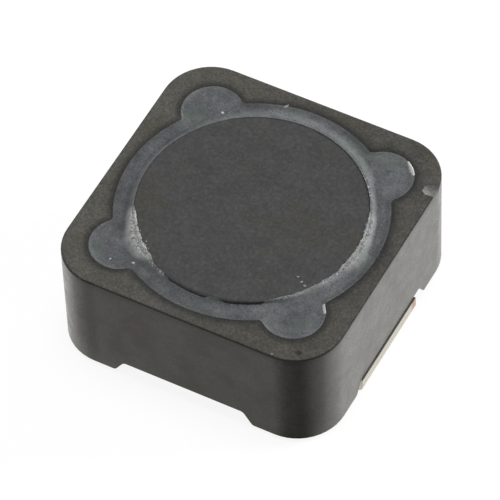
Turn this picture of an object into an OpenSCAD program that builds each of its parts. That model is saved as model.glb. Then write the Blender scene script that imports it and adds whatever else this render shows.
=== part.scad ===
// Shielded surface-mount power inductor of the 12 mm class.
//
// One enamelled copper wire is wound on a ferrite drum. The drum is bonded to a moulded base
// plate that carries two tinned copper terminals, and a square ferrite shield stands round it
// all. Epoxy fills the gap between drum and shield at the top, out into the four corner lobes.
//
// Frame: millimetres, +Z up, X across the two terminals. The origin is the middle of the
// footprint on the solder plane, where the terminals' pads meet the board.

/* [Shield core] */
// Side length of the square shield
shield_w = 12.3; // [11.9:0.1:14]
// Height of the shield, from its feet to its top
shield_h = 5.15; // [4.4:0.01:7.5]
// Radius of the shield's four upright corners
shield_corner_r = 2.07; // [0.8:0.01:2.6]
// Radius of the outer edges round the shield's top and feet
shield_edge_r = 0.1; // [0.04:0.01:0.25]
// Thickness of the wall at the middle of each side, where the round bore comes closest
side_wall_t = 0.6; // [0.5:0.01:0.75]
// Thickness of the wall in each corner, outside the bore's lobe
corner_wall_t = 1.1; // [0.8:0.01:1.4]
// Diameter of each corner lobe of the bore
lobe_d = 2.56; // [2.2:0.01:2.9]
// Radius of the rounded lip where a lobe runs into the bore
lobe_lip_r = 0.22; // [0.1:0.01:0.5]

/* [Shield feet] */
// Height of the notch in the middle of each side
notch_h = 0.7; // [0.55:0.01:1.2]
// Distance that a notch's sloping sides lean out between its ceiling and the feet
notch_flare = 0.45; // [0.3:0.01:0.5]
// Width of the two plain notches along their ceiling
plain_notch_w = 5.4; // [4.8:0.1:6]
// Radius of the corners under a notch's ceiling
notch_corner_r = 0.25; // [0.05:0.01:0.3]
// Radius of the lips where a notch meets the feet
notch_lip_r = 0.45; // [0.05:0.01:0.5]
// Height of the feet above the solder plane
foot_lift = 0.16; // [0.1:0.01:0.3]

/* [Drum core] */
// Width of the gap between the drum's two flanges and the bore
drum_gap = 0.84; // [0.7:0.01:1]
// Depth of the winding window, from the flanges' edges in to the post
window_depth = 2.41; // [1.95:0.01:2.8]
// Thickness of the top flange
top_flange_t = 1.05; // [0.95:0.01:1.4]
// Thickness of the bottom flange
bottom_flange_t = 1.05; // [0.7:0.01:1.4]
// Height of the drum's top above the shield's top
drum_proud = 0.12; // [0.06:0.01:0.3]
// Radius of the flanges' outer edges
drum_edge_r = 0.06; // [0.02:0.01:0.2]
// Radius of the fillets between post and flanges
post_fillet_r = 0.15; // [0.05:0.01:0.2]

/* [Winding] */
// Diameter of the wire over its enamel
wire_d = 0.45; // [0.4:0.01:0.55]
// Clearance between neighbouring turns, and between the wire and the ferrite
turn_gap = 0.02; // [0.01:0.01:0.06]
// Radius of the bends in the two lead-outs
lead_bend_r = 0.45; // [0.3:0.01:0.6]
// Clearance between a lead-out and the edge of the bottom flange
lead_gap = 0.1; // [0.06:0.01:0.2]

/* [Base plate] */
// Thickness of the base under the drum
base_t = 0.6; // [0.55:0.01:0.9]
// Clearance between the ceiling of a notch and the arm that reaches out through it
arm_gap = 0.12; // [0.1:0.01:0.3]
// Distance that an arm's sides lie inside the sides of the strip that it carries
arm_inset = 0.2; // [0.05:0.01:0.4]
// Clearance between the base and the bore
base_gap = 0.1; // [0.04:0.01:0.2]
// Clearance round the wire and the solder in the base's pockets
pocket_gap = 0.1; // [0.05:0.01:0.2]
// Radius of the pockets' inner corners
pocket_corner_r = 0.2; // [0.1:0.01:0.3]

/* [Terminals] */
// Width of the terminal strip
strip_w = 4.7; // [4.4:0.1:5]
// Distance of the strip's middle from the shield's middle, away from the solder tab
strip_offset = 0.21; // [0:0.01:0.25]
// Clearance between the strip's sides and the feet on both sides of its notch
leg_gap = 0.45; // [0.42:0.01:0.6]
// Thickness of the terminal strip
strip_t = 0.2; // [0.15:0.01:0.25]
// Length of the pad under the base, out to the upturned leg's face
pad_l = 2.45; // [2.2:0.01:2.7]
// Distance that the upturned leg stands proud of the shield's side
leg_proud = 0.05; // [0.03:0.01:0.3]
// Inside radius of the strip's bends
bend_r = 0.1; // [0.05:0.01:0.15]
// Width of the tongue that anchors the pad in the base
tongue_w = 2; // [1.2:0.1:3]
// Depth to which the tongue enters the base
tongue_depth = 0.35; // [0.25:0.01:0.45]
// Clearance round the tongue in the base
tongue_gap = 0.03; // [0.02:0.01:0.06]
// Width of the solder tab
tab_w = 0.85; // [0.75:0.01:0.95]
// Distance from the pad's inner end to the middle of the wire's end
tab_inset = 0.38; // [0.3:0.01:0.5]
// Distance from the pad's side to the middle of the wire's end
tab_reach = 0.35; // [0.25:0.01:0.45]

/* [Bonding] */
// Thickness of the solder over the wire's ends
solder_t = 0.12; // [0.06:0.01:0.16]
// Depth of the epoxy in the gap round the drum
fill_depth = 0.85; // [0.5:0.01:0.9]
// Distance from the epoxy's face down from the shield's top
fill_recess = 0.03; // [0.01:0.01:0.1]
// Radius of the epoxy's meniscus against the drum
meniscus_r = 0.12; // [0.05:0.01:0.15]
// Thickness of the adhesive film under the drum
bond_t = 0.05; // [0.03:0.01:0.1]
// Diameter of the adhesive film under the drum
bond_d = 6.4; // [4:0.1:8]

/* [Hidden] */
$fn = 96;
// More than enough to run past any outline
beyond = 3 * shield_w;
// Distance that a cut runs on past the faces it goes through
overcut = 1;
// A round dips this far into what it blends with, so that the two outlines cross cleanly
blend_dip = 0.0005;

// Shield
shield_top = foot_lift + shield_h;
// Distance from the axis to each upright corner's outside, along the diagonal
corner_reach = sqrt(2) * (shield_w / 2 - shield_corner_r) + shield_corner_r;
bore_r = shield_w / 2 - side_wall_t;
lobe_r = lobe_d / 2;
lobe_offset = corner_reach - corner_wall_t - lobe_r;
// Width along its ceiling of the notch round each terminal
terminal_notch_w = strip_w + 2 * (strip_offset + leg_gap - notch_flare);

// Base and terminals, from the solder plane upwards
leg_x = shield_w / 2 + leg_proud;
pad_x = leg_x - pad_l;
arm_x = leg_x - strip_t;
arm_w = strip_w - 2 * arm_inset;
bend_outer_r = bend_r + strip_t;
base_top = strip_t + base_t;
// The leg and the arm behind it end level, below the notch's ceiling
leg_top = min(foot_lift + notch_h - arm_gap, base_top);
arm_t = leg_top - strip_t;

// Drum, which stands on the base and rises just past the shield
drum_z = base_top + bond_t;
drum_top = shield_top + drum_proud;
drum_h = drum_top - drum_z;
drum_r = bore_r - drum_gap;
post_r = drum_r - window_depth;

// Winding window, filled with rows of wire from its floor up
wire_r = wire_d / 2;
wire_pitch = wire_d + turn_gap;
window_z = drum_z + bottom_flange_t;
window_h = drum_h - bottom_flange_t - top_flange_t;
row_count = floor((window_h - turn_gap) / wire_pitch);
// An even number of layers brings both ends of the wire out at the bottom
layer_count = 2 * floor((window_depth - turn_gap) / (2 * wire_pitch));

// Lead-outs, which drop past the bottom flange in two opposite lobes
lead_angle = 45;
drop_r = drum_r + lead_gap + wire_r;
lead_z = strip_t + turn_gap / 2 + wire_r;
drop_point = drop_r * [cos(lead_angle), sin(lead_angle)];
wire_end = [pad_x + tab_inset, strip_w / 2 - strip_offset + tab_reach];
lead_run = drop_point - wire_end;
lead_heading = atan2(lead_run[1], lead_run[0]);
solder_r = wire_r + solder_t;
// Solder holds the straight stretch of wire, up to where the bend begins
solder_l = norm(lead_run) - lead_bend_r - solder_t;

// Winding: sides of the wire's section, steps in a bend, and degrees of wire wound
wire_sides = 8;
bend_steps = 5;
wire_step = 15;
lane_sweep = 180;
climb_sweep = 90;
bend_sweep = asin(lead_bend_r / drop_r);
exit_sweep = 360 - (climb_sweep * (layer_count - 1)) % 360;

// ---- Shared shapes ----

function unit(v) = v / norm(v);

// Sliver between a corner p, whose sides run along a and b, and a round of radius r inside it.
// It reaches a little way behind the corner, so that it leaves no skin where it is joined on.
module corner_sliver(p, a, b, r) {
    half_angle = acos(a * b) / 2;
    side = r / tan(half_angle);
    inward = unit(a + b);
    middle = p + inward * (r / sin(half_angle) - blend_dip);
    difference() {
        polygon([p - side * inward, p + side * a, middle, p + side * b]);
        translate(middle) circle(r);
    }
}

// Rectangle w wide and h tall, centred on the y axis and standing on the x axis
module rounded_rect(w, h, r) {
    translate([r - w / 2, 0]) square([w - 2 * r, h]);
    translate([-w / 2, r]) square([w, h - 2 * r]);
    for (side = [-1, 1], y = [r, h - r])
        translate([side * (w / 2 - r), y]) circle(r);
}

// The half of rounded_rect to the right of the y axis, for turning into a disc or column
module rounded_half_rect(w, h, r) {
    intersection() {
        rounded_rect(2 * w, h, r);
        square([w, h]);
    }
}

// Straight bar with round ends, from p to q
module round_ended_bar(p, q, d) {
    translate(p) circle(d = d);
    translate(q) circle(d = d);
    translate(p)
        rotate(atan2(q[1] - p[1], q[0] - p[0]))
            translate([0, -d / 2])
                square([norm(q - p), d]);
}

// One lobe of the bore along +X, drawn in by gap, with its two rounded lips
module lobe(gap) {
    bore_reach = bore_r + lobe_lip_r - blend_dip;
    lobe_reach = lobe_r + lobe_lip_r - blend_dip;
    lip_angle = acos((lobe_offset ^ 2 + bore_reach ^ 2 - lobe_reach ^ 2)
        / (2 * lobe_offset * bore_reach));
    translate([lobe_offset, 0]) circle(lobe_r - gap);
    for (side = [-1, 1]) {
        lip = bore_reach * [cos(lip_angle), side * sin(lip_angle)];
        difference() {
            polygon([[0, 0], [lobe_offset, 0], lip]);
            translate(lip) circle(lobe_lip_r + gap);
        }
    }
}

// The bore's outline with the lobes at the given angles, drawn in by gap
module bore_outline(gap, lobe_angles) {
    circle(bore_r - gap);
    for (angle = lobe_angles)
        rotate(angle) lobe(gap);
}

// ---- Shield core ----

// Square block with round upright corners and rounded outer edges: two crossing bars and a
// quarter of a round column in each corner
module shield_block() {
    flat = shield_w - 2 * shield_corner_r;
    for (turn = [0, 90])
        rotate([90, 0, turn])
            linear_extrude(height = flat, center = true)
                rounded_rect(shield_w, shield_h, shield_edge_r);
    for (turn = [0 : 90 : 270])
        rotate(turn)
            translate([flat / 2, flat / 2, 0])
                rotate_extrude(angle = 90)
                    rounded_half_rect(shield_corner_r, shield_h, shield_edge_r);
}

// Outline of a notch of width w: sloping sides, rounded corners and rounded lips at the feet
module notch_outline(w) {
    top_x = w / 2;
    foot_x = top_x + notch_flare;
    slope = unit([notch_flare, -notch_h]);
    difference() {
        polygon([[-foot_x, 0], [-top_x, notch_h], [top_x, notch_h], [foot_x, 0]]);
        for (side = [0, 1])
            mirror([side, 0])
                corner_sliver([top_x, notch_h], [-1, 0], slope, notch_corner_r);
    }
    for (side = [0, 1])
        mirror([side, 0])
            corner_sliver([foot_x, 0], [1, 0], -slope, notch_lip_r);
}

module shield_core() {
    color("#43423e")
        translate([0, 0, foot_lift])
            difference() {
                shield_block();
                translate([0, 0, -overcut])
                    linear_extrude(height = shield_h + 2 * overcut)
                        bore_outline(0, [45 : 90 : 315]);
                // Each notch is cut outwards from inside the bore
                for (notch = [
                    [0, plain_notch_w],
                    [90, terminal_notch_w],
                    [180, plain_notch_w],
                    [270, terminal_notch_w],
                ])
                    rotate(notch[0])
                        translate([0, -bore_r / 2, 0])
                            rotate([90, 0, 0])
                                linear_extrude(height = beyond)
                                    notch_outline(notch[1]);
            }
}

// ---- Drum core ----

// Half section of the drum: a full block, less the winding window and the edges' rounds
module drum_profile() {
    window_reach = 2 * window_depth;
    difference() {
        square([drum_r, drum_h]);
        translate([post_r + window_reach / 2, bottom_flange_t])
            rounded_rect(window_reach, window_h, post_fillet_r);
        for (edge = [[0, 1], [bottom_flange_t, -1], [drum_h - top_flange_t, 1], [drum_h, -1]])
            corner_sliver([drum_r, edge[0]], [-1, 0], [0, edge[1]], drum_edge_r);
    }
}

module drum_core() {
    color("#4a4a4a")
        translate([0, 0, drum_z])
            rotate_extrude() drum_profile();
}

// ---- Winding ----
// The wire comes in along the window's floor, climbs the first layer from the lowest row, and
// then runs back and forth between the top row and the second row, so that the way in stays
// free under the outer layers.

function layer_r(layer) = post_r + turn_gap + wire_r + layer * wire_pitch;
function row_z(row) = window_z + turn_gap + wire_r + row * wire_pitch;

// Row in which a layer starts: the lowest for the first, then top and second in turn
function first_row(layer) = layer == 0 ? 0 : layer % 2 == 1 ? row_count - 1 : 1;

// A stretch of wire is [sweep, radius from, radius to, height from, height to]
function layer_stretch(layer) =
    let (from = first_row(layer), to = first_row(layer + 1))
    [360 * abs(to - from), layer_r(layer), layer_r(layer), row_z(from), row_z(to)];

// From a layer out to the next, or from the last one out to where the lead drops
function outward_stretch(layer) =
    let (z = row_z(first_row(layer + 1)))
    layer < layer_count - 1
        ? [climb_sweep, layer_r(layer), layer_r(layer + 1), z, z]
        : [exit_sweep - bend_sweep, layer_r(layer), drop_r, z, z];

wire_stretches = [
    [lane_sweep - bend_sweep, drop_r, layer_r(0), row_z(0), row_z(0)],
    for (layer = [0 : layer_count - 1])
        each [layer_stretch(layer), outward_stretch(layer)],
];

// Angle wound before a stretch begins
function wound_before(i) = i == 0 ? 0 : wound_before(i - 1) + wire_stretches[i - 1][0];

function stretch_points(stretch, start_angle) =
    let (steps = ceil(stretch[0] / wire_step))
    [for (i = [1 : steps])
        let (
            t = i / steps,
            eased = t * t * (3 - 2 * t),
            angle = start_angle + t * stretch[0],
            r = stretch[1] + eased * (stretch[2] - stretch[1]),
            z = stretch[3] + t * (stretch[4] - stretch[3])
        )
        [r * cos(angle), r * sin(angle), z]];

// Curve from p to q that bends towards the corner c
function bend(p, c, q) =
    [for (i = [0 : bend_steps])
        let (t = i / bend_steps)
        (1 - t) ^ 2 * p + 2 * t * (1 - t) * c + t ^ 2 * q];

// Lead-out from the coil at height z, down the lobe and along its solder tab to the wire's end
function lead_points(z) =
    let (
        coil_angle = lead_angle - bend_sweep,
        drop = [drop_point[0], drop_point[1], 0],
        run = -unit([lead_run[0], lead_run[1], 0])
    )
    concat(
        bend([drop_r * cos(coil_angle), drop_r * sin(coil_angle), z],
            drop + [0, 0, z], drop + [0, 0, z - lead_bend_r]),
        bend(drop + [0, 0, lead_z + lead_bend_r],
            drop + [0, 0, lead_z], drop + [0, 0, lead_z] + lead_bend_r * run),
        [[wire_end[0], wire_end[1], lead_z]]
    );

// The same lead-out in the opposite lobe, from the wire's end up to the coil. The coil leaves
// this one the other way round, so its first bend is mirrored across the lobe's middle.
function first_lead_points(z) =
    let (
        points = lead_points(z),
        coil_angle = lead_angle + 180 + bend_sweep,
        drop = -[drop_point[0], drop_point[1], 0],
        first_bend = bend(drop + [0, 0, z - lead_bend_r], drop + [0, 0, z],
            [drop_r * cos(coil_angle), drop_r * sin(coil_angle), z])
    )
    concat(
        [for (i = [len(points) - 1 : -1 : bend_steps + 1])
            [-points[i][0], -points[i][1], points[i][2]]],
        first_bend
    );

wire_path = concat(
    first_lead_points(row_z(0)),
    [for (i = [0 : len(wire_stretches) - 1])
        each stretch_points(wire_stretches[i], lead_angle + 180 + bend_sweep + wound_before(i))],
    [for (i = [1 : len(lead_points(0)) - 1]) lead_points(row_z(1))[i]]
);

// Round wire of radius r swept along a path, its section carried from point to point
// without twisting
module swept_wire(path, r, sides) {
    last = len(path) - 1;
    ways = [for (i = [0 : last]) unit(path[min(i + 1, last)] - path[max(i - 1, 0)])];
    across = [for (i = 0, v = [0, 0, 1];
            i <= last;
            i = i + 1, v = v - (v * ways[min(i, last)]) * ways[min(i, last)])
        unit(v)];
    rings = [for (i = [0 : last], j = [0 : sides - 1])
        let (angle = 360 * j / sides)
        path[i] + r * (cos(angle) * across[i] + sin(angle) * cross(ways[i], across[i]))];
    walls = [for (i = [0 : last - 1], j = [0 : sides - 1])
        let (
            a = i * sides + j,
            b = i * sides + (j + 1) % sides
        )
        each [[a, b, b + sides], [a, b + sides, a + sides]]];
    start_cap = [for (j = [sides - 1 : -1 : 0]) j];
    end_cap = [for (j = [0 : sides - 1]) last * sides + j];
    polyhedron(points = rings, faces = concat(walls, [start_cap, end_cap]), convexity = 10);
}

module winding() {
    color("#a8562a") swept_wire(wire_path, wire_r, wire_sides);
}

// ---- Base plate ----

// Plan of a pocket in the base's edge, for a lead-out along +X and its solder joint
module pocket_outline() {
    end = [wire_end * [cos(lead_angle), sin(lead_angle)],
        wire_end * [-sin(lead_angle), cos(lead_angle)]];
    inner_x = min(end[0], drop_r) - solder_r - pocket_gap;
    low_y = min(end[1], 0) - solder_r - pocket_gap;
    high_y = max(end[1] + solder_t, 0) + wire_r + pocket_gap;
    translate([inner_x, (low_y + high_y) / 2])
        rotate(-90)
            rounded_rect(high_y - low_y, beyond, pocket_corner_r);
}

// Section of an arm from the middle of the base out, clear of the strip's inside bend
module arm_section() {
    polygon([
        [0, 0],
        [arm_x - bend_r, 0],
        [arm_x, bend_r],
        [arm_x, arm_t],
        [0, arm_t],
    ]);
}

module base_plate() {
    slot_x = pad_x - bend_outer_r - tongue_gap;
    slot_w = bend_outer_r + 2 * tongue_gap;
    slot_l = tongue_w + 2 * tongue_gap;
    color("#1d1d1e")
        translate([0, 0, strip_t])
            difference() {
                union() {
                    linear_extrude(height = base_t)
                        difference() {
                            bore_outline(base_gap, [lead_angle + 90, lead_angle + 270]);
                            for (turn = [0, 180])
                                rotate(lead_angle + turn) pocket_outline();
                        }
                    for (turn = [0, 180])
                        rotate(turn)
                            translate([0, -strip_offset, 0])
                                rotate([90, 0, 0])
                                    linear_extrude(height = arm_w, center = true)
                                        arm_section();
                }
                for (turn = [0, 180])
                    rotate(turn)
                        translate([slot_x, -strip_offset - slot_l / 2, -overcut])
                            cube([slot_w, slot_l, overcut + tongue_depth + tongue_gap]);
            }
}

// ---- Terminals ----

// Quarter bend of the strip, turning up from the floor at its right end
module bend_section() {
    translate([0, bend_outer_r])
        intersection() {
            difference() {
                circle(bend_outer_r);
                circle(bend_r);
            }
            translate([0, -bend_outer_r]) square(bend_outer_r);
        }
}

// Pad and upturned outer leg
module pad_section() {
    translate([pad_x, 0]) square([pad_l - bend_outer_r, strip_t]);
    translate([leg_x - bend_outer_r, 0]) bend_section();
    translate([arm_x, bend_outer_r]) square([strip_t, leg_top - bend_outer_r]);
}

// Tongue that turns up from the pad's inner end
module tongue_section() {
    translate([pad_x, 0]) mirror([1, 0]) bend_section();
    translate([pad_x - bend_outer_r, bend_outer_r])
        square([strip_t, strip_t + tongue_depth - bend_outer_r]);
}

module terminal() {
    color("#c9c6b8") {
        translate([0, -strip_offset, 0])
            rotate([90, 0, 0]) {
                linear_extrude(height = strip_w, center = true) pad_section();
                linear_extrude(height = tongue_w, center = true) tongue_section();
            }
        linear_extrude(height = strip_t)
            round_ended_bar(
                wire_end - tab_w * unit(lead_run),
                wire_end + solder_l * unit(lead_run),
                tab_w
            );
    }
}

module right_terminal() {
    terminal();
}

module left_terminal() {
    rotate(180) terminal();
}

// ---- Bonding ----

// Mound of solder on the tab, round the last stretch of the wire, thinning out along it
module solder_joint() {
    color("#b9bbbd")
        translate([wire_end[0], wire_end[1], lead_z])
            rotate(lead_heading)
                difference() {
                    intersection() {
                        union() {
                            sphere(solder_r);
                            rotate([0, 90, 0]) cylinder(r = solder_r, h = solder_l);
                            translate([solder_l, 0, 0])
                                rotate([0, 90, 0])
                                    cylinder(r1 = solder_r, r2 = wire_r, h = solder_t);
                        }
                        translate([-solder_r, -solder_r, strip_t - lead_z])
                            cube([solder_l + 2 * solder_r, 2 * solder_r, 2 * solder_r]);
                    }
                    rotate([0, 90, 0]) cylinder(r = wire_r, h = solder_l + 2 * solder_r);
                }
}

module right_solder_joint() {
    solder_joint();
}

module left_solder_joint() {
    rotate(180) solder_joint();
}

// Epoxy between drum and shield, with the meniscus that climbs the drum's edge
module gap_adhesive() {
    color("#6a6e71")
        translate([0, 0, shield_top - fill_recess - fill_depth])
            difference() {
                union() {
                    linear_extrude(height = fill_depth)
                        bore_outline(0, [45 : 90 : 315]);
                    rotate_extrude()
                        corner_sliver([drum_r, fill_depth], [1, 0], [0, 1], meniscus_r);
                }
                translate([0, 0, -overcut])
                    cylinder(r = drum_r, h = fill_depth + 2 * overcut);
            }
}

module drum_adhesive() {
    color("#8a8474")
        translate([0, 0, base_top])
            cylinder(d = bond_d, h = bond_t);
}

shield_core();
drum_core();
winding();
base_plate();
left_terminal();
right_terminal();
left_solder_joint();
right_solder_joint();
gap_adhesive();
drum_adhesive();
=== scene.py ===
"""Looks of a shielded surface-mount power inductor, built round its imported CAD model.

Lengths below are in millimetres and become metres where a mesh, lamp or camera is made.
Materials work in millimetres too, from the point's place on the object.
Angles are in degrees, counted from +X towards +Y round the drum's axis.
"""

import math

import bmesh
import bpy
import numpy as np
from mathutils import Matrix, Vector, noise


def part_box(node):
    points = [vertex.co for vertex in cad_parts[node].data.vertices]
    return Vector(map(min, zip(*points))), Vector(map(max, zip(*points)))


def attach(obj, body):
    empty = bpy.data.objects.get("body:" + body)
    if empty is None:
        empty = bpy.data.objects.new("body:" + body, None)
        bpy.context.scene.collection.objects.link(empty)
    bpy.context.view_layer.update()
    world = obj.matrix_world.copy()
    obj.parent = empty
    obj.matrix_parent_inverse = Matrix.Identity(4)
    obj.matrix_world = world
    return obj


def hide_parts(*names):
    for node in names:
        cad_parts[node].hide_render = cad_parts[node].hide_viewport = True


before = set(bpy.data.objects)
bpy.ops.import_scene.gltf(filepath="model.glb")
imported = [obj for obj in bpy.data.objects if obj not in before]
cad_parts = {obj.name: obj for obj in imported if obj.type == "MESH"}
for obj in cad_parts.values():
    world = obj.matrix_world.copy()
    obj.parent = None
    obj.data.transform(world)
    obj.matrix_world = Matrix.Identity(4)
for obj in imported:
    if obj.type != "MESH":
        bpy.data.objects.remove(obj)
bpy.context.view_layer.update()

MM = 0.001

# ---- Sizes that the frame's boxes don't give ----

SIDE_WALL = 0.6
CORNER_WALL = 1.1
CORNER_R = 2.07
LOBE_R = 1.28
LOBE_LIP_R = 0.22
DRUM_EDGE_R = 0.06

# Distance from the middle to the end of each strip beside its solder tab. The strip was
# sheared there: where bare copper begins and is full, and its share
STRIP_END = 2.14
COPPER_FADE = (STRIP_END - 0.45, STRIP_END - 0.25)
COPPER_SHARE = 0.7

# Painted shade of a pit in the shield's top, whose shape has no pit: its middle, the radii
# between which it fades, and its share
PIT_MIDDLE = (4.96, -5.51)
PIT_FADE = (0.04, 0.2)
PIT_SHARE = 0.7
# Upright brown streak on the shield's -Y side: its middle, the distances between which it
# fades, its share, and how far in from that side it reaches
STREAK_X = -4.1
STREAK_FADE = (0.1, 0.45)
STREAK_SHARE = 0.6
STREAK_DEPTH = 0.0615

# ---- Sizes from the frame ----


def node_box(node):
    """Lowest and highest corner of a CAD node, in millimetres."""
    low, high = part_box(node)
    return low / MM, high / MM


SHIELD_LOW, SHIELD_HIGH = node_box("shield_core")
DRUM_HIGH = node_box("drum_core")[1]
FILL_LOW = node_box("gap_adhesive")[0]
HALF_W = SHIELD_HIGH.x
SHIELD_TOP = SHIELD_HIGH.z
DRUM_R = DRUM_HIGH.x
DRUM_TOP = DRUM_HIGH.z
FILL_BOTTOM = FILL_LOW.z
BORE_R = HALF_W - SIDE_WALL
CORNER_REACH = math.sqrt(2) * (HALF_W - CORNER_R) + CORNER_R
LOBE_OFFSET = CORNER_REACH - CORNER_WALL - LOBE_R
LOBE_ANGLES = (45, 135, 225, 315)


# ---- Small helpers ----


def smooth_step(low, high, value):
    """0 below low, 1 above high, and an even curve between them."""
    t = min(1.0, max(0.0, (value - low) / (high - low)))
    return t * t * (3 - 2 * t)


def turn_between(angle, other):
    """Angle from other to angle, from -180 to 180."""
    return (angle - other + 180) % 360 - 180


def window(angle, start, end, fade):
    """1 from start round to end, fading to 0 over fade degrees outside them."""
    middle = (start + end) / 2
    half = (end - start) / 2
    return 1 - smooth_step(half, half + fade, abs(turn_between(angle, middle)))


def grain(x, y, z, size, octaves=3, seed=0.0):
    """Fractal noise of about -1 to 1, with features of the given size in millimetres."""
    point = Vector((x / size + seed, y / size - seed, z / size + 2 * seed))
    return noise.fractal(point, 1.0, 2.0, octaves, noise_basis="PERLIN_ORIGINAL")


def add_piece(name, vertices, faces, material):
    """Makes a smooth mesh piece from millimetres, on the root body."""
    mesh = bpy.data.meshes.new(name)
    mesh.from_pydata([Vector(v) * MM for v in vertices], [], faces)
    mesh.validate()
    mesh.polygons.foreach_set("use_smooth", [True] * len(mesh.polygons))
    mesh.materials.append(material)
    piece = bpy.data.objects.new(name, mesh)
    bpy.context.scene.collection.objects.link(piece)
    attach(piece, "root")
    return piece


def set_point_values(piece, name, values):
    """Stores one number a vertex, which the piece's material reads by name."""
    layer = piece.data.attributes.new(name, "FLOAT", "POINT")
    layer.data.foreach_set("value", np.array(values, np.float32))


# ---- Material building blocks ----

# Sockets of a colour mix node, which has others of the same names for numbers and vectors
MIX_FACTOR = 0
MIX_A = 6
MIX_B = 7
MIX_RESULT = 2


class Shader:
    """A node material with one Principled shader, and short calls for the nodes that feed it."""

    def __init__(self, name):
        self.material = bpy.data.materials.new(name)
        self.material.use_nodes = True
        self.nodes = self.material.node_tree.nodes
        self.links = self.material.node_tree.links
        self.main = self.nodes["Principled BSDF"]
        self.place = self.nodes.new("ShaderNodeTexCoord").outputs["Object"]

    def set(self, **values):
        """Sets the main shader's own sockets; a name's underscores stand for spaces."""
        for name, value in values.items():
            self.main.inputs[name.replace("_", " ")].default_value = value

    def link(self, output, socket):
        """Feeds one of the main shader's sockets."""
        self.links.new(output, self.main.inputs[socket])

    def feed(self, node, socket, value):
        """Links value to the node's socket, or sets it there if it is a plain number."""
        if isinstance(value, bpy.types.NodeSocket):
            self.links.new(value, node.inputs[socket])
        else:
            node.inputs[socket].default_value = value

    def math(self, operation, a, b=0.0):
        """Result of one sum on numbers or sockets."""
        node = self.nodes.new("ShaderNodeMath")
        node.operation = operation
        self.feed(node, 0, a)
        self.feed(node, 1, b)
        return node.outputs[0]

    def distance(self, x, y, middle):
        """Distance from (x, y) to a middle in the same unit."""
        dx = self.math("SUBTRACT", x, middle[0])
        dy = self.math("SUBTRACT", y, middle[1])
        x_square = self.math("MULTIPLY", dx, dx)
        y_square = self.math("MULTIPLY", dy, dy)
        return self.math("SQRT", self.math("ADD", x_square, y_square))

    def noise(self, size, detail=3.0, roughness=0.55):
        """Noise of 0 to 1 with features of the given size in millimetres."""
        node = self.nodes.new("ShaderNodeTexNoise")
        node.inputs["Scale"].default_value = 1 / (size * MM)
        node.inputs["Detail"].default_value = detail
        node.inputs["Roughness"].default_value = roughness
        self.links.new(self.place, node.inputs["Vector"])
        return node.outputs["Fac"]

    def specks(self, size, reach):
        """1 in the middle of scattered round specks, falling to 0 at reach of their spacing."""
        node = self.nodes.new("ShaderNodeTexVoronoi")
        node.inputs["Scale"].default_value = 1 / (size * MM)
        self.links.new(self.place, node.inputs["Vector"])
        return self.ramp(node.outputs["Distance"], (0.0, 1.0), (reach, 0.0))

    def ramp(self, value, *stops):
        """Curve through stops of (position, result)."""
        node = self.nodes.new("ShaderNodeValToRGB")
        ramp = node.color_ramp
        while len(ramp.elements) < len(stops):
            ramp.elements.new(1.0)
        for element, (position, result) in zip(ramp.elements, stops):
            element.position = position
            element.color = (result, result, result, 1)
        self.links.new(value, node.inputs["Fac"])
        return node.outputs["Color"]

    def mix(self, share, a, b):
        """Colour a where share is 0, b where it is 1."""
        node = self.nodes.new("ShaderNodeMix")
        node.data_type = "RGBA"
        self.feed(node, MIX_FACTOR, share)
        self.feed(node, MIX_A, a)
        self.feed(node, MIX_B, b)
        return node.outputs[MIX_RESULT]

    def mottle(self, value, low, high, a, b):
        """Colour a where value is below low, b where it is above high."""
        return self.mix(self.ramp(value, (low, 0.0), (high, 1.0)), a, b)

    def fade(self, value, span, ends):
        """Smooth change from one end to the other while value crosses the span."""
        node = self.nodes.new("ShaderNodeMapRange")
        node.interpolation_type = "SMOOTHSTEP"
        self.links.new(value, node.inputs["Value"])
        node.inputs["From Min"].default_value = span[0]
        node.inputs["From Max"].default_value = span[1]
        node.inputs["To Min"].default_value = ends[0]
        node.inputs["To Max"].default_value = ends[1]
        return node.outputs["Result"]

    def attribute(self, name):
        """Number that the mesh holds at each vertex under this name."""
        node = self.nodes.new("ShaderNodeAttribute")
        node.attribute_name = name
        return node.outputs["Fac"]

    def bump(self, height, distance, strength=1.0, under=None):
        """Bump of the given depth in millimetres, over another bump if one is given."""
        node = self.nodes.new("ShaderNodeBump")
        node.inputs["Distance"].default_value = distance * MM
        node.inputs["Strength"].default_value = strength
        self.links.new(height, node.inputs["Height"])
        if under is not None:
            self.links.new(under, node.inputs["Normal"])
        return node.outputs["Normal"]

    def axis(self, name):
        """One coordinate of the point, "X", "Y" or "Z", in millimetres."""
        node = self.nodes.new("ShaderNodeSeparateXYZ")
        self.links.new(self.place, node.inputs[0])
        return self.math("DIVIDE", node.outputs[name], MM)


def srgb(red, green, blue):
    """Linear colour with alpha from the 0 to 255 values that a screen shows."""
    def linear(value):
        value /= 255
        return value / 12.92 if value <= 0.04045 else ((value + 0.055) / 1.055) ** 2.4
    return (linear(red), linear(green), linear(blue), 1.0)


# ---- Materials ----


def bore_distance(shader):
    """Distance outside the bore and its lobes, in millimetres."""
    x = shader.math("ABSOLUTE", shader.axis("X"))
    y = shader.math("ABSOLUTE", shader.axis("Y"))
    lobe_at = LOBE_OFFSET / math.sqrt(2)
    from_bore = shader.math("SUBTRACT", shader.distance(x, y, (0, 0)), BORE_R)
    from_lobe = shader.math("SUBTRACT", shader.distance(x, y, (lobe_at, lobe_at)), LOBE_R)
    return shader.math("MINIMUM", from_bore, from_lobe)


def painted_pit_shade(shader):
    """Share of the painted shade that stands for a pit in the top."""
    away = shader.distance(shader.axis("X"), shader.axis("Y"), PIT_MIDDLE)
    return shader.fade(away, PIT_FADE, (PIT_SHARE, 0.0))


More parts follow.
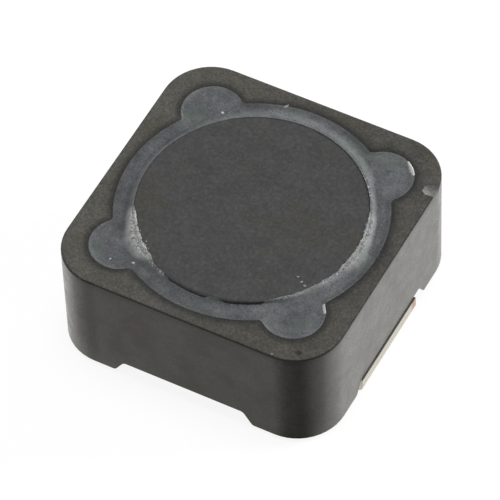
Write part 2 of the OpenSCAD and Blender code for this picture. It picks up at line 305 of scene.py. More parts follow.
def wall_streak(shader):
    """Share of the upright brown streak on the -Y side."""
    away = shader.math("ABSOLUTE", shader.math("SUBTRACT", shader.axis("X"), STREAK_X))
    streak = shader.fade(away, STREAK_FADE, (STREAK_SHARE, 0.0))
    on_side = shader.math("LESS_THAN", shader.axis("Y"), SHIELD_LOW.y + STREAK_DEPTH)
    return shader.math("MULTIPLY", streak, on_side)


def ferrite_colour(shader, fine, below_rim):
    """Grey of pressed ferrite: mottled, with painted light that makes it lighter towards -X, and
    brown in places on the sides.
    """
    blotches = shader.noise(0.9, detail=5.0, roughness=0.65)
    base = shader.mottle(blotches, 0.34, 0.66, srgb(86, 85, 81), srgb(106, 105, 99))
    # Painted light: the ferrite is made lighter towards -X and left darker towards +X
    painted_left_light = shader.fade(shader.axis("X"), (-6.0, 3.0), (0.5, 0.0))
    left_lit = shader.mix(painted_left_light, base, srgb(124, 123, 116))
    patches = shader.ramp(shader.noise(2.6, detail=3.0), (0.45, 0.0), (0.68, 0.5))
    olive = shader.mix(patches, left_lit, srgb(104, 101, 89))
    rust = shader.ramp(shader.noise(1.3, detail=3.0), (0.47, 0.0), (0.64, 0.6))
    rust = shader.math("MULTIPLY", rust, shader.fade(below_rim, (0.05, 0.5), (0.15, 1.0)))
    brown = shader.mix(shader.math("MAXIMUM", rust, wall_streak(shader)), olive, srgb(78, 60, 53))
    dark = shader.mix(shader.ramp(fine, (0.35, 0.5), (0.58, 0.0)), brown, srgb(54, 54, 52))
    return shader.mix(shader.ramp(fine, (0.55, 0.0), (0.72, 0.3)), dark, srgb(132, 130, 124))


def ferrite_material():
    """Pressed grey ferrite, stained where epoxy wet it round the bore, with painted shade on its
    sides and a darker painted shade band just under its rim.
    """
    shader = Shader("ferrite")
    fine = shader.noise(0.08, detail=2.0, roughness=0.7)
    below_rim = shader.math("SUBTRACT", SHIELD_TOP, shader.axis("Z"))
    grainy = ferrite_colour(shader, fine, below_rim)
    # Painted shade: a dark spot where the top has a pit
    with_pit_shade = shader.mix(painted_pit_shade(shader), grainy, srgb(36, 36, 36))
    stain = shader.ramp(bore_distance(shader), (0.0, 0.75), (0.14, 0.5), (0.28, 0.12), (0.5, 0.0))
    stained = shader.mix(stain, with_pit_shade, srgb(44, 45, 47))
    # Painted shade: below the top the ferrite is mixed 36% of the way to black, so its sides
    # render darker than its top
    wall = shader.mix(shader.fade(below_rim, (0.05, 0.3), (0.0, 0.36)), stained, srgb(0, 0, 0))
    # Painted shade: a dark band from the top's edge down to 0.4 below it, darkest just under the
    # edge
    painted_rim_shade = shader.ramp(below_rim, (0.003, 0.1), (0.02, 0.8), (0.18, 0.66), (0.4, 0.0))
    shader.link(shader.mix(painted_rim_shade, wall, srgb(36, 35, 34)), "Base Color")
    shader.link(shader.ramp(shader.noise(0.5), (0.3, 0.23), (0.7, 0.34)), "Roughness")
    pits = shader.bump(shader.specks(0.3, 0.16), 0.006, strength=-0.5)
    shader.link(shader.bump(fine, 0.012, strength=0.5, under=pits), "Normal")
    shader.set(IOR=1.6, Specular_Tint=(1.0, 0.985, 0.92, 1.0))
    return shader.material


def drum_material():
    """Ground ferrite of the drum, neutral grey and evenly grained."""
    shader = Shader("ground_ferrite")
    blotches = shader.noise(0.7, detail=4.0, roughness=0.7)
    fine = shader.noise(0.16, detail=3.0, roughness=0.75)
    base = shader.mottle(blotches, 0.35, 0.65, srgb(80, 80, 81), srgb(89, 89, 89))
    warm = shader.ramp(shader.noise(2.2, detail=2.0), (0.52, 0.0), (0.7, 0.5))
    tinted = shader.mix(warm, base, srgb(84, 82, 70))
    dark = shader.mix(shader.ramp(fine, (0.32, 0.4), (0.52, 0.0)), tinted, srgb(60, 60, 62))
    light = shader.mix(shader.ramp(fine, (0.54, 0.0), (0.7, 0.35)), dark, srgb(112, 112, 110))
    shader.link(light, "Base Color")
    shader.link(shader.ramp(shader.noise(0.4), (0.3, 0.55), (0.7, 0.68)), "Roughness")
    shader.link(shader.bump(fine, 0.01, strength=0.5), "Normal")
    shader.set(IOR=1.5)
    return shader.material


def broken_material():
    """Freshly broken ferrite, lighter and sparkling."""
    shader = Shader("broken_ferrite")
    fine = shader.noise(0.06, detail=3.0, roughness=0.75)
    colour = shader.mottle(fine, 0.35, 0.62, srgb(96, 96, 96), srgb(140, 139, 136))
    shader.link(colour, "Base Color")
    shader.link(shader.ramp(fine, (0.3, 0.35), (0.7, 0.5)), "Roughness")
    shader.link(shader.bump(fine, 0.02, strength=0.6), "Normal")
    return shader.material


def clean_epoxy_colour(shader, fine):
    """Grey of the epoxy: clouded and greenish in places, with painted shade at the bore's wall,
    painted sheen on the fillet and at a lobe's wall, and pale on loose grains.
    """
    cloud = shader.noise(0.7, detail=4.0, roughness=0.65)
    base = shader.mottle(cloud, 0.32, 0.68, srgb(97, 99, 102), srgb(126, 128, 130))
    dark = shader.mix(shader.ramp(fine, (0.36, 0.6), (0.54, 0.0)), base, srgb(62, 64, 68))
    patches = shader.ramp(shader.noise(1.8, detail=2.0), (0.52, 0.0), (0.68, 0.55))
    green = shader.mix(patches, dark, srgb(106, 118, 110))
    # Painted shade where the epoxy meets the bore's wall
    painted_wall_shade = shader.mix(shader.attribute("painted_wall_shade"), green, srgb(60, 61, 64))
    # Painted sheen on the fillet and at a lobe's wall; on the loose grains the same value is
    # their own paleness
    lit = shader.mix(shader.attribute("pale_and_sheen"), painted_wall_shade, srgb(150, 151, 153))
    specks = shader.math("MULTIPLY", shader.specks(0.24, 0.2), 0.55)
    return shader.mix(specks, lit, srgb(150, 154, 158))


def epoxy_material():
    """Cured grey epoxy, with a dry whitish crust where it climbed the drum, and painted
    highlights on small beads.
    """
    shader = Shader("epoxy")
    fine = shader.noise(0.07, detail=3.0, roughness=0.75)
    patchy = shader.ramp(shader.noise(0.28, detail=3.0), (0.36, 0.55), (0.58, 1.0))
    crust = shader.math("MULTIPLY", shader.attribute("crust"), patchy)
    grains = shader.mottle(fine, 0.36, 0.56, srgb(108, 109, 110), srgb(216, 216, 213))
    white = shader.mix(shader.attribute("grainy"), srgb(172, 172, 171), grains)
    crusted = shader.mix(crust, clean_epoxy_colour(shader, fine), white)
    # Painted highlight: near-white glints on the beads
    with_painted_glints = shader.mix(shader.attribute("glint"), crusted, srgb(216, 216, 214))
    shader.link(with_painted_glints, "Base Color")
    shader.link(shader.ramp(crust, (0.0, 0.4), (0.6, 0.6)), "Roughness")
    shader.link(shader.bump(fine, 0.025, strength=0.5), "Normal")
    shader.set(IOR=1.5)
    return shader.material


def tin_material():
    """Dull tin plate, creamy where it has aged, with bare copper at one end of each strip."""
    shader = Shader("tin_plate")
    cloud = shader.noise(1.1, detail=4.0, roughness=0.65)
    base = shader.mottle(cloud, 0.35, 0.65, srgb(196, 192, 176), srgb(214, 211, 200))
    # The two strips match after half a turn, so their copper ends point opposite ways
    side = shader.math("SIGN", shader.axis("X"))
    along = shader.math("MULTIPLY", side, shader.axis("Y"))
    copper = shader.mix(shader.fade(along, COPPER_FADE, (0.0, COPPER_SHARE)),
                        base, srgb(186, 138, 122))
    patches = shader.ramp(shader.noise(0.6, detail=3.0), (0.58, 0.0), (0.72, 0.6))
    shader.link(shader.mix(patches, copper, srgb(190, 160, 146)), "Base Color")
    shader.link(shader.ramp(cloud, (0.3, 0.36), (0.7, 0.52)), "Roughness")
    fine = shader.noise(0.08, detail=2.0)
    shader.link(shader.bump(fine, 0.006, strength=0.4), "Normal")
    shader.set(Metallic=0.75)
    return shader.material


def solder_material():
    """Bright solder with a slightly frosted skin."""
    shader = Shader("solder")
    cloud = shader.noise(0.3, detail=3.0)
    shader.link(shader.mix(cloud, srgb(168, 170, 172), srgb(206, 207, 206)), "Base Color")
    shader.link(shader.ramp(cloud, (0.3, 0.22), (0.7, 0.42)), "Roughness")
    shader.link(shader.bump(shader.noise(0.12), 0.01, strength=0.5), "Normal")
    shader.set(Metallic=0.95)
    return shader.material


def wire_material():
    """Copper under clear amber enamel."""
    shader = Shader("enamelled_copper")
    cloud = shader.noise(0.7, detail=3.0)
    shader.link(shader.mix(cloud, srgb(150, 74, 36), srgb(190, 104, 58)), "Base Color")
    shader.link(shader.ramp(cloud, (0.3, 0.24), (0.7, 0.36)), "Roughness")
    shader.link(shader.bump(shader.noise(0.2), 0.008, strength=0.3), "Normal")
    shader.set(Metallic=0.85, Coat_Weight=0.5, Coat_Roughness=0.15)
    return shader.material


def moulding_material():
    """Black moulded base with a fine eroded texture."""
    shader = Shader("moulding")
    cloud = shader.noise(0.8, detail=4.0)
    fine = shader.noise(0.05, detail=2.0)
    shader.link(shader.mix(cloud, srgb(26, 26, 27), srgb(42, 42, 42)), "Base Color")
    shader.link(shader.ramp(cloud, (0.3, 0.5), (0.7, 0.65)), "Roughness")
    shader.link(shader.bump(fine, 0.01, strength=0.5), "Normal")
    return shader.material


def bond_material():
    """Amber adhesive film under the drum."""
    shader = Shader("bond_film")
    cloud = shader.noise(0.5, detail=3.0)
    shader.link(shader.mix(cloud, srgb(128, 118, 98), srgb(150, 142, 124)), "Base Color")
    shader.link(shader.ramp(cloud, (0.3, 0.35), (0.7, 0.5)), "Roughness")
    return shader.material


# ---- Epoxy in the gap ----


def outline_radius(angle):
    """Distance from the axis to the bore's outline, lobes and lips included."""
    off = min(abs(turn_between(angle, lobe)) for lobe in LOBE_ANGLES)
    off = math.radians(off)
    bore_reach = BORE_R + LOBE_LIP_R
    lobe_reach = LOBE_R + LOBE_LIP_R
    lip = math.acos((LOBE_OFFSET ** 2 + bore_reach ** 2 - lobe_reach ** 2)
                    / (2 * LOBE_OFFSET * bore_reach))
    if off >= lip:
        return BORE_R
    lip_middle = Vector((bore_reach * math.cos(lip), bore_reach * math.sin(lip)))
    touch = Vector((LOBE_OFFSET, 0)).lerp(lip_middle, LOBE_R / lobe_reach)
    if off >= math.atan2(touch.y, touch.x):
        inside = LOBE_LIP_R ** 2 - (bore_reach * math.sin(off - lip)) ** 2
        return bore_reach * math.cos(off - lip) - math.sqrt(max(inside, 0.0))
    inside = LOBE_R ** 2 - (LOBE_OFFSET * math.sin(off)) ** 2
    return LOBE_OFFSET * math.cos(off) + math.sqrt(inside)


# Width of the fillet that climbs from the epoxy to the drum's top: angle and width
FILLET = (
    (-162, 0.2), (-148, 0.32), (-135, 0.6), (-128, 0.54), (-119, 0.12), (-112, 0.03),
    (-54, 0.03), (-40, 0.14), (-18, 0.2), (-5, 0.48), (10, 0.34), (32, 0.24),
    (50, 0.46), (90, 0.6), (128, 0.56), (158, 0.3), (198, 0.2),
)
# Share of the fillet's width that is level with the drum, how much more is so under full
# crust, and the share by which the fillet's foot wavers
FILLET_LEVEL = 0.1
FILLET_CRUST_LEVEL = 0.35
FILLET_WAVER = 0.16
# The fillet ends this far below the drum's top, and it is this much wider than given
FILLET_SHORT = 0.01
FILLET_LEAST = 0.01
# Dry whitish crust on the fillet: start, end and strength. It starts to fade this far inside
# its ends, over so many degrees
CRUSTS = ((-154, -119, 0.78), (-54, -18, 0.3), (-16, 24, 0.46), (24, 128, 0.06))
CRUST_INSET = 4
CRUST_FADE = 6
# Shares of the fillet's width between which the crust fades, and its grains do
CRUST_REACH = (0.5, 1.25)
GRAINY_REACH = (0.4, 0.6)
# Loose pale grains that trail along the drum's edge from a crust: start and end, the
# degrees and the distances from the drum over which they fade, and their strength
TRAILS = ((-121, -109), (-26, -14), (33, 48))
TRAIL_FADE = 3
TRAIL_REACH = (0.05, 0.14)
TRAIL_STRENGTH = 0.8
# The epoxy has shrunk away from the drum along these stretches: start and end, the degrees
# and the distances from the drum over which the crevice closes, and its depth
CREVICES = ((-106, -86), (-75, -58))
CREVICE_FADE = 4
CREVICE_REACH = (0.0135, 0.045)
CREVICE_DEPTH = 0.05
# Small beads in the epoxy's surface, each with a painted highlight: x, y and radius, then their
# height and the highlight's strength
BEADS = (
    (4.5, 4.97, 0.1), (4.62, 4.91, 0.15), (4.74, 4.8, 0.18), (4.84, 4.67, 0.17),
    (4.92, 4.53, 0.1), (-3.12, 5.0, 0.09), (-3.0, 4.92, 0.11), (4.8, -3.0, 0.11),
    (4.9, -3.13, 0.13), (4.96, -3.26, 0.09), (-3.43, 3.94, 0.07), (-2.94, -4.46, 0.06),
    (-3.86, -4.69, 0.04),
)
BEAD_RISE = 0.02
BEAD_GLINT = 1.3
# The epoxy climbs the bore's wall a little: how near the wall, and how far up
WALL_REACH = 0.24
WALL_RISE = 0.024
# Distance from the bore's circle over which a lobe's shades come in
LOBE_FADE = 0.3
# Shares of painted sheen on the fillet and at a lobe's wall; reach and share of the painted
# shade at the bore's wall
FILLET_SHEEN = 0.18
LOBE_SHEEN = 0.16
WALL_SHADE_REACH = 0.34
WALL_SHADE_SHARE = 0.5
# Height of the face's long and short waves and of the lumps in the crust, and the distance
# from the wall over which they come in
SWELL = 0.012
RIPPLE = 0.006
LUMPS = 0.03
CALM_REACH = 0.1
# How far the crust laps over the drum, how ragged that edge is, and how much faster than the
# crust it grows to its full width. Then its height over the drum, and how far in it is full
LAP = 0.11
LAP_RAGGED = 0.9
LAP_FULL = 1.3
LAP_RISE = 0.02
LAP_EDGE = 0.05
# The epoxy's face lies this far under the shield's
RECESS = 0.03
# Steps of the mesh round the drum and across the gap, closer together near the drum
EPOXY_ANGLES = 1080
EPOXY_RINGS = 52
EPOXY_CROWDING = 1.25


def fillet_width(angle):
    """Width of the fillet at this angle, smoothly between the given ones."""
    first = FILLET[0][0]
    angle = (angle - first) % 360 + first
    for (start, a), (end, b) in zip(FILLET, FILLET[1:]):
        if start <= angle <= end:
            return a + (b - a) * smooth_step(start, end, angle)
    return FILLET[0][1]


def crust_along(angle):
    """Strength of the crust at this angle."""
    return max(strength * window(angle, start + CRUST_INSET, end - CRUST_INSET, CRUST_FADE)
               for start, end, strength in CRUSTS)


def trail_along(angle):
    """1 along the trails of loose grains, 0 away from them."""
    return max(window(angle, start, end, TRAIL_FADE) for start, end in TRAILS)


def crevice_along(angle):
    """1 along the crevices, 0 away from them."""
    return max(window(angle, start, end, CREVICE_FADE) for start, end in CREVICES)


def bead_at(x, y):
    """1 in the middle of a bead, 0 outside it."""
    most = 0.0
    for bx, by, radius in BEADS:
        away = math.hypot(x - bx, y - by)
        if away < radius:
            most = max(most, 1 - (away / radius) ** 2)
    return most


class EpoxyPoint:
    """The epoxy's height and shades at one point of its face."""

    def __init__(self, angle, r, outer):
        turn = math.radians(angle)
        self.x = r * math.cos(turn)
        self.y = r * math.sin(turn)
        self.angle = angle
        # Distances from the drum and to the bore's wall
        self.gap = r - DRUM_R
        self.to_wall = outer - r
        self.width = fillet_width(angle)
        self.along = crust_along(angle)
        self.climb = self.climb_share()
        self.wall = 1 - smooth_step(0, WALL_REACH, self.to_wall)
        self.bead = bead_at(self.x, self.y)
        self.set_shades(smooth_step(BORE_R - LOBE_FADE, BORE_R + LOBE_FADE, r))
        self.z = self.height()

    def noise(self, size, octaves, seed):
        """Noise of about -1 to 1 here, with features of the given size."""
        return grain(self.x, self.y, 0, size, octaves, seed)

    def fade_out(self, reach):
        """1 at the drum, falling to 0 between two shares of the fillet's width."""
        return 1 - smooth_step(reach[0] * self.width, reach[1] * self.width, self.gap)

    def climb_share(self):
        """1 where the fillet is level with the drum, 0 past its foot."""
        level = (FILLET_LEVEL + FILLET_CRUST_LEVEL * min(1.0, self.along)) * self.width
        foot = self.width * (1 + FILLET_WAVER * self.noise(0.35, 3, 2.2)) + FILLET_LEAST
        return 1 - smooth_step(level, foot, self.gap)

    def set_shades(self, lobe):
        """Sets what the material reads; lobe is 1 in a lobe and 0 in the round gap."""
        trail = trail_along(self.angle) * (1 - smooth_step(*TRAIL_REACH, self.gap))
        clump = smooth_step(0.05, 0.3, self.noise(0.09, 2, 8.0))
        self.crust = max(self.along * self.fade_out(CRUST_REACH), TRAIL_STRENGTH * trail * clump)
        self.grainy = max(self.fade_out(GRAINY_REACH), trail)
        self.glint = min(1.0, BEAD_GLINT * self.bead)
        # Painted sheen on the fillet and at a lobe's wall
        self.pale_and_sheen = FILLET_SHEEN * self.climb + LOBE_SHEEN * lobe * self.wall
        # Painted shade along the bore's wall, outside the lobes
        self.painted_wall_shade = WALL_SHADE_SHARE * (1 - lobe) * (1 - smooth_step(0, WALL_SHADE_REACH, self.to_wall))

    def height(self):
        """Height of the face: fillet, crevice, rise at the wall, beads and waves."""
        crevice = crevice_along(self.angle)
        crevice_edge = 1 - smooth_step(*CREVICE_REACH, self.gap)
        waves = SWELL * self.noise(0.7, 3, 3.1) + RIPPLE * self.noise(0.13, 2, 7.7)
        lumps = LUMPS * self.crust * self.grainy * self.noise(0.1, 3, 11.0)
        level = SHIELD_TOP - RECESS
        z = level + (DRUM_TOP - FILLET_SHORT - level) * self.climb * (1 - crevice)
        z -= CREVICE_DEPTH * crevice * crevice_edge
        z += WALL_RISE * self.wall + BEAD_RISE * self.bead
        z += (waves + lumps) * smooth_step(0, CALM_REACH, self.to_wall)
        if self.gap < 0:
            z = max(z, DRUM_TOP) + LAP_RISE * smooth_step(0, LAP_EDGE, self.gap + LAP)
        return z


def lap_width(angle):
    """How far the crust laps over the drum's edge at this angle."""
    turn = math.radians(angle)
    ragged = 1 + LAP_RAGGED * grain(math.cos(turn), math.sin(turn), 0, 0.05, 3, 5.0)
    return max(0.0, LAP * min(1.0, LAP_FULL * crust_along(angle)) * ragged)


def epoxy_column(angle):
    """Points of the epoxy's face from the drum outwards, at one angle."""
    outer = outline_radius(angle)
    inner = DRUM_R - lap_width(angle)
    shares = [(j / (EPOXY_RINGS - 1)) ** EPOXY_CROWDING for j in range(EPOXY_RINGS)]
    return [EpoxyPoint(angle, inner + (outer - inner) * share, outer) for share in shares]


def ring_faces(columns, rows):
    """Faces of a closed ring whose vertices are stored column by column."""
    faces = []
    for i in range(columns):
        here = i * rows
        there = (i + 1) % columns * rows
        for j in range(rows):
            k = (j + 1) % rows
            faces.append((here + j, here + k, there + k, there + j))
    return faces


def epoxy_ring(material):
    """The epoxy as one closed skin: crusted top, straight outer wall, flat floor."""
    vertices = []
    shades = {"crust": [], "grainy": [], "pale_and_sheen": [], "glint": [], "painted_wall_shade": []}
    for i in range(EPOXY_ANGLES):
        angle = 360 * i / EPOXY_ANGLES
        turn = math.radians(angle)
        column = epoxy_column(angle)
        for point in column:
            vertices.append((point.x, point.y, point.z))
            for name, values in shades.items():
                values.append(getattr(point, name))
        outer = outline_radius(angle)
        under_edge = min(DRUM_TOP - DRUM_EDGE_R, column[0].z)
        for r, z in ((outer, FILL_BOTTOM), (DRUM_R, FILL_BOTTOM), (DRUM_R, under_edge)):
            vertices.append((r * math.cos(turn), r * math.sin(turn), z))
            for values in shades.values():
                values.append(0.0)
    faces = ring_faces(EPOXY_ANGLES, len(vertices) // EPOXY_ANGLES)
    piece = add_piece("epoxy_ring", vertices, faces, material)
    for name, values in shades.items():
        set_point_values(piece, name, values)
    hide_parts("gap_adhesive")


# ---- The chip in the shield, and grains of epoxy ----

# Outline of the chip that broke out of the shield's rim
CHIP = (
    (5.6, 3.9), (5.59, 4.18), (5.76, 4.38), (5.98, 4.49), (6.3, 4.34), (6.3, 3.86), (5.8, 3.77),
)
# Its depth on the bore's side and at the rim, and where along X one passes into the other
CHIP_INNER_DEPTH = 0.03
CHIP_OUTER_DEPTH = 0.2
CHIP_SLOPE = (5.9, 6.35)
# Lowest point of its floor
CHIP_MIDDLE = (5.88, 4.1)
CHIP_MIDDLE_DEPTH = 0.12
# The block that cuts it stands this far above the top
CUTTER_RISE = 0.1
# Vertices nearer than this are welded before the cut
WELD = 0.0002
# Edges of the shield that bend more than this many degrees are shown sharp
SHARP_ANGLE = 25
# Grains of epoxy that lie on a face: x, y, height of the face, length, width, turn, paleness
GRAINS = (
    (3.24, -2.27, DRUM_TOP, 0.1, 0.06, 20, 0.9), (3.49, -2.43, DRUM_TOP, 0.12, 0.08, 70, 0.9),
    (3.69, -2.55, DRUM_TOP, 0.14, 0.07, -10, 0.9), (-1.28, 5.36, SHIELD_TOP, 0.24, 0.1, 60, 0.3),
    (4.05, -6.02, SHIELD_TOP, 0.07, 0.05, 0, 0.9), (-3.42, -3.02, DRUM_TOP, 0.06, 0.05, 40, 0.6),
    (-2.95, -3.38, DRUM_TOP, 0.07, 0.05, 10, 0.6), (-2.7, -3.66, DRUM_TOP, 0.05, 0.04, 80, 0.6),
)
# Height of a grain as a share of its width, how lumpy it is, and its shades
GRAIN_HEIGHT = 0.5
GRAIN_LUMP = 0.3
GRAIN_GRAINY = 0.3
GRAIN_PALE = 1.0


def chip_cutter():
    """Closed block whose sloping floor leaves the chip, as vertices and faces."""
    count = len(CHIP)
    vertices = [(x, y, SHIELD_TOP + CUTTER_RISE) for x, y in CHIP]
    for x, y in CHIP:
        share = smooth_step(*CHIP_SLOPE, x)
        depth = CHIP_INNER_DEPTH + share * (CHIP_OUTER_DEPTH - CHIP_INNER_DEPTH)
        vertices.append((x, y, SHIELD_TOP - depth))
    vertices.append((*CHIP_MIDDLE, SHIELD_TOP - CHIP_MIDDLE_DEPTH))
    middle = 2 * count
    faces = [tuple(range(count))]
    for i in range(count):
        j = (i + 1) % count
        faces.append((i, count + i, count + j, j))
        faces.append((count + j, count + i, middle))
    return vertices, faces


def make_cutter(material):
    """Object that the chip is cut with."""
    vertices, faces = chip_cutter()
    cutter = bmesh.new()
    made = [cutter.verts.new(Vector(v) * MM) for v in vertices]
    for face in faces:
        cutter.faces.new([made[i] for i in face])
    bmesh.ops.recalc_face_normals(cutter, faces=cutter.faces)
    mesh = bpy.data.meshes.new("cutter")
    cutter.to_mesh(mesh)
    cutter.free()
    mesh.materials.append(material)
    return bpy.data.objects.new("cutter", mesh)


def evaluated_mesh(item):
    """New mesh of the object as its modifiers leave it."""
    bpy.context.view_layer.update()
    ready = item.evaluated_get(bpy.context.evaluated_depsgraph_get())
    return bpy.data.meshes.new_from_object(ready)


def sharpen_between_materials(mesh):
    """Marks the edges sharp where a face of one material meets a face of another."""
    shades = {}
    for face in mesh.polygons:
        for key in face.edge_keys:
            shades.setdefault(key, set()).add(face.material_index)
    for edge in mesh.edges:
        if len(shades[edge.key]) > 1:
            edge.use_edge_sharp = True


def welded_shield(material):
    """Object with the CAD shield's mesh, its vertices welded, in the node's place."""
    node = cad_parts["shield_core"]
    welded = bmesh.new()
    welded.from_mesh(node.data)
    welded.transform(node.matrix_world)
    bmesh.ops.remove_doubles(welded, verts=welded.verts, dist=WELD * MM)
    mesh = bpy.data.meshes.new("welded")
    welded.to_mesh(mesh)
    welded.free()
    mesh.materials.clear()
    mesh.materials.append(material)
    return bpy.data.objects.new("holder", mesh)


def cut_out(holder, cutter):
    """Takes the cutter out of the holder's mesh; the cut faces keep the cutter's material."""
    cut = holder.modifiers.new("cut", "BOOLEAN")
    cut.object = cutter
    cut.operation = "DIFFERENCE"
    cut.solver = "EXACT"
    cut.material_mode = "TRANSFER"
    holder.data = evaluated_mesh(holder)
    holder.modifiers.clear()


def shade_mesh(holder):
    """Mesh of the holder, smooth but for its sharp edges, with its flat faces shaded flat."""
    mesh = holder.data
    mesh.polygons.foreach_set("use_smooth", [True] * len(mesh.polygons))
    mesh.set_sharp_from_angle(angle=math.radians(SHARP_ANGLE))
    sharpen_between_materials(mesh)
    flatten = holder.modifiers.new("flatten", "WEIGHTED_NORMAL")
    flatten.mode = "FACE_AREA"
    flatten.weight = 100
    flatten.keep_sharp = True
    return evaluated_mesh(holder)


def chipped_shield(material, broken):
    """Copy of the shield with its chip, in the CAD node's place."""
    holder = welded_shield(material)
    cutter = make_cutter(broken)
    for item in (holder, cutter):
        bpy.context.scene.collection.objects.link(item)
    cut_out(holder, cutter)
    mesh = shade_mesh(holder)
    for item in (holder, cutter):
        bpy.data.objects.remove(item)
    mesh.name = "chipped_shield"
    piece = bpy.data.objects.new("chipped_shield", mesh)
    bpy.context.scene.collection.objects.link(piece)
    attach(piece, "root")
    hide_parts("shield_core")


def epoxy_grains(material):
    """Loose grains of cured epoxy on the drum and the shield."""
    vertices, faces, crusts = [], [], []
    ball = bmesh.new()
    bmesh.ops.create_icosphere(ball, subdivisions=3, radius=0.5)
    ball.verts.ensure_lookup_table()
    for x, y, z, length, width, turn, paleness in GRAINS:
        first = len(vertices)
        across = Matrix.Rotation(math.radians(turn), 3, "Z")
        for vert in ball.verts:
            lump = 1 + GRAIN_LUMP * grain(vert.co.x + x, vert.co.y, vert.co.z, 0.5, 2)
            stretch = Vector((length, width, GRAIN_HEIGHT * width))
            local = vert.co * stretch * lump
            vertices.append(Vector((x, y, z)) + across @ local)
            crusts.append(paleness)
        faces += [tuple(first + v.index for v in face.verts) for face in ball.faces]
    ball.free()
    piece = add_piece("epoxy_grains", vertices, faces, material)
    set_point_values(piece, "crust", crusts)
    set_point_values(piece, "grainy", [GRAIN_GRAINY] * len(vertices))
    set_point_values(piece, "pale_and_sheen", [GRAIN_PALE] * len(vertices))


# ---- Dressing the CAD nodes ----


def dress(node, material):
    """Gives a CAD node its material."""
    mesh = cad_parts[node].data
    mesh.materials.clear()
    mesh.materials.append(material)


def dress_cad_nodes():
    """Gives every CAD node but shield and gap epoxy its material."""
    dress("drum_core", drum_material())
    dress("winding", wire_material())
    dress("base_plate", moulding_material())
    tin = tin_material()
    dress("left_terminal", tin)
    dress("right_terminal", tin)
    solder = solder_material()
    dress("left_solder_joint", solder)
    dress("right_solder_joint", solder)
    dress("drum_adhesive", bond_material())


# ---- Floor, lamps and camera ----

# Camera: where it stands round the object, counted from -Y towards +X, its height in
# degrees, its roll, its distance, its lens and sensor, how far it is moved to the right and
# up, and the nearest and farthest that it sees
AZIMUTH = 29.832
ELEVATION = 51.509
ROLL = -2.507
DISTANCE = 195.328
LENS = 350.13
SENSOR = 36.0
AIM_RIGHT = -0.151
AIM_UP = 0.001
NEAREST = 1
FARTHEST = 10000

# Half the floor's side
FLOOR_HALF = 600
# The floor lies this far under the terminals, so that no two faces share a plane
FLOOR_GAP = 0.01
# Diffuse grey of the floor, and the light it adds for the camera so that it shows white
FLOOR_GREY = 0.2
FLOOR_GLOW = 0.88
# What glossy sides see of the floor: bright at the back and sides, dim in front, and dark
# before the nearest corner. Front lies this way, and the glow changes between these
# distances along it
BACK_GLOW = 0.93
FRONT_GLOW = 0.38
FRONT_WAY = (0.1, -1.0)
FRONT_FADE = (5.0, 6.6)
# The dark wedge: the point it spreads from, its direction, and the angles over which it
# fades clockwise and anticlockwise
WEDGE_FROM = (4.65, -4.93)
WEDGE_WAY = -70
WEDGE_CLOCKWISE = (16, 50)
WEDGE_ANTICLOCKWISE = (11, 50)
# Strength of the even light from all round
WORLD_LIGHT = 0.06
# Distance and side of each lamp
LAMP_DISTANCE = 300
LAMP_SIZE = 150
# Lamps: name, direction round the object from +X towards +Y, height in degrees, and watts
LAMPS = (
    ("right_lamp", 44, 12, 1.32),
    ("left_lamp", 222, 12, 0.4),
    ("top_lamp", 120, 88, 0.4),
)


def camera_axes():
    """The camera's right, up and backward directions."""
    azimuth, elevation, roll = (math.radians(v) for v in (AZIMUTH, ELEVATION, ROLL))
    back = Vector((math.sin(azimuth) * math.cos(elevation),
                   -math.cos(azimuth) * math.cos(elevation),
                   math.sin(elevation)))
    right = Vector((math.cos(azimuth), math.sin(azimuth), 0))
    up = back.cross(right)
    return (math.cos(roll) * right + math.sin(roll) * up,
            math.cos(roll) * up - math.sin(roll) * right,
            back)


def make_camera():
    """Camera at the photo's viewing angle."""
    right, up, back = camera_axes()
    middle = Vector((0, 0, (SHIELD_LOW.z + SHIELD_HIGH.z) / 2))
    place = middle + AIM_RIGHT * right + AIM_UP * up + DISTANCE * back
    data = bpy.data.cameras.new("camera")
    data.lens = LENS
    data.sensor_width = SENSOR
    data.clip_start = NEAREST * MM
    data.clip_end = FARTHEST * MM
    camera = bpy.data.objects.new("camera", data)
    turn = Matrix((right, up, back)).transposed().to_4x4()
    camera.matrix_world = Matrix.Translation(place * MM) @ turn
    bpy.context.scene.collection.objects.link(camera)
    bpy.context.scene.camera = camera


def floor_wedge(shader, x, y):
    """0 in the dark wedge, 1 outside it."""
    dx = shader.math("SUBTRACT", x, WEDGE_FROM[0])
    dy = shader.math("SUBTRACT", y, WEDGE_FROM[1])
    off = shader.math("SUBTRACT", shader.math("ARCTAN2", dy, dx), math.radians(WEDGE_WAY))
    clockwise = [math.radians(-angle) for angle in WEDGE_CLOCKWISE]
    anticlockwise = [math.radians(angle) for angle in WEDGE_ANTICLOCKWISE]
    before = shader.fade(off, clockwise, (0.0, 1.0))
    after = shader.fade(off, anticlockwise, (0.0, 1.0))
    return shader.math("MAXIMUM", before, after)


def floor_glow(shader):
    """Strength of the floor's own light: even for the camera, in patches for glossy rays."""
    x = shader.axis("X")
    y = shader.axis("Y")
    front = shader.math("ADD", shader.math("MULTIPLY", x, FRONT_WAY[0]),
                        shader.math("MULTIPLY", y, FRONT_WAY[1]))
    side = shader.fade(front, FRONT_FADE, (BACK_GLOW, FRONT_GLOW))
    patches = shader.math("MULTIPLY", side, floor_wedge(shader, x, y))
    path = shader.nodes.new("ShaderNodeLightPath")
    glossy = shader.math("MULTIPLY", path.outputs["Is Glossy Ray"], patches)
    seen = shader.math("MULTIPLY", path.outputs["Is Camera Ray"], FLOOR_GLOW)
    return shader.math("ADD", seen, glossy)


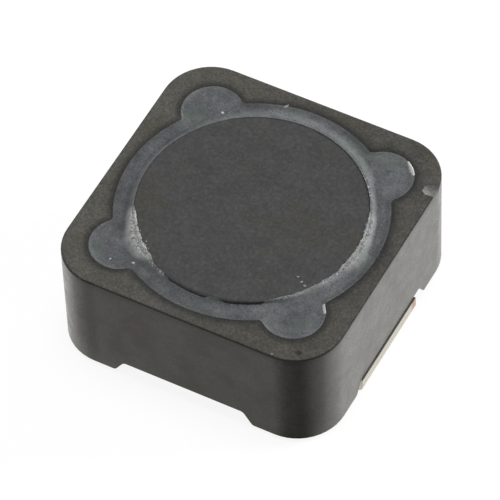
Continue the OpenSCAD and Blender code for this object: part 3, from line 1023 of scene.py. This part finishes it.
def make_floor():
    """Large pale floor: grey for light, white for the camera, with the shadow kept."""
    mesh = bpy.data.meshes.new("floor")
    signs = ((-1, -1), (1, -1), (1, 1), (-1, 1))
    corners = [Vector((a * FLOOR_HALF, b * FLOOR_HALF, -FLOOR_GAP)) * MM for a, b in signs]
    mesh.from_pydata(corners, [], [(0, 1, 2, 3)])
    floor = bpy.data.objects.new("floor", mesh)
    bpy.context.scene.collection.objects.link(floor)
    shader = Shader("floor")
    shader.set(Roughness=1.0, Base_Color=(FLOOR_GREY, FLOOR_GREY, FLOOR_GREY, 1.0))
    shader.set(Specular_IOR_Level=0.0, Emission_Color=(1.0, 1.0, 1.0, 1.0))
    shader.link(floor_glow(shader), "Emission Strength")
    mesh.materials.append(shader.material)


def make_world():
    """White to the camera, and an even dim light on the object."""
    world = bpy.data.worlds.new("world")
    world.use_nodes = True
    nodes = world.node_tree.nodes
    links = world.node_tree.links
    background = nodes["Background"]
    background.inputs["Color"].default_value = (1, 1, 1, 1)
    path = nodes.new("ShaderNodeLightPath")
    strength = nodes.new("ShaderNodeMapRange")
    strength.inputs["To Min"].default_value = WORLD_LIGHT
    strength.inputs["To Max"].default_value = 1.0
    links.new(path.outputs["Is Camera Ray"], strength.inputs["Value"])
    links.new(strength.outputs["Result"], background.inputs["Strength"])
    bpy.context.scene.world = world


def make_lamp(name, around, above, watts):
    """Square soft lamp that faces the object and isn't mirrored in glossy faces."""
    data = bpy.data.lights.new(name, "AREA")
    data.shape = "SQUARE"
    data.size = LAMP_SIZE * MM
    data.energy = watts
    around = math.radians(around)
    above = math.radians(above)
    way = Vector((math.cos(around) * math.cos(above), math.sin(around) * math.cos(above),
                  math.sin(above)))
    lamp = bpy.data.objects.new(name, data)
    lamp.location = way * LAMP_DISTANCE * MM
    lamp.rotation_euler = way.to_track_quat("Z", "Y").to_euler()
    lamp.visible_glossy = False
    bpy.context.scene.collection.objects.link(lamp)


epoxy = epoxy_material()
ferrite = ferrite_material()
dress("shield_core", ferrite)
dress_cad_nodes()
chipped_shield(ferrite, broken_material())
epoxy_ring(epoxy)
epoxy_grains(epoxy)
make_floor()
make_world()
for lamp in LAMPS:
    make_lamp(*lamp)
make_camera()
bpy.context.scene.view_settings.view_transform = "Standard"
